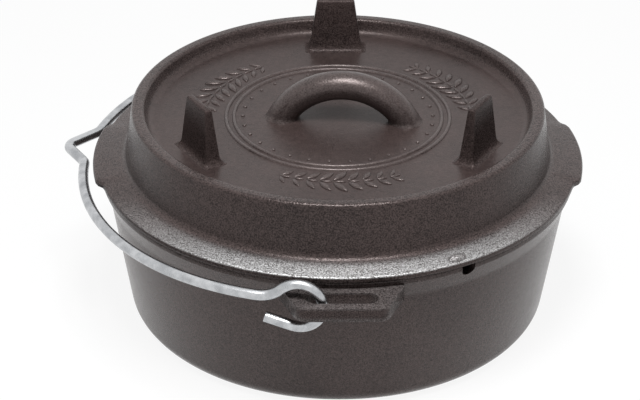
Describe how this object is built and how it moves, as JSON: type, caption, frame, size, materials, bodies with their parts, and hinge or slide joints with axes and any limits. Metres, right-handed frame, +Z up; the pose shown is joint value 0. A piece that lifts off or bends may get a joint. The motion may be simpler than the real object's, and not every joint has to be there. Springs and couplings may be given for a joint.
{
  "type": "camp dutch oven",
  "caption": "Round cast-iron camp pot with a flat floor, a footed and rimmed lid with an arched handle, and a wire bail hooked in slotted lugs.",
  "frame": {"origin": "centre of the pot's flat base, on the ground", "axes": "+Z up along the pot's axis, -Y out through the front lug, -X towards the side where the bail rests"},
  "size_m": [0.2356, 0.2448, 0.1164],
  "materials": {
    "iron": "seasoned, satin, fine sand-cast grain",
    "zinc_wire": "bright zinc plating on drawn wire"
  },
  "bodies": {
    "pot": {"pot": "iron", "notch_rim": "iron", "lug_front": "iron", "lug_rear": "iron"},
    "lid": {"lid": "iron", "lid_handle": "iron", "foot_back": "iron", "foot_left": "iron", "foot_right": "iron"},
    "bail": {"bail": "zinc_wire"}
  },
  "joints": [
    {"name": "bail_swing", "type": "hinge", "parent": "pot", "child": "bail", "pos_m": [0, 0, 0.06515], "axis": [0.1572, 0.9874, 0.0166], "range_deg": [0, 150]},
    {"name": "lid_lift", "type": "slide", "parent": "pot", "child": "lid", "axis": [0, 0, 1], "range_m": [0, 0.15]}
  ]
}
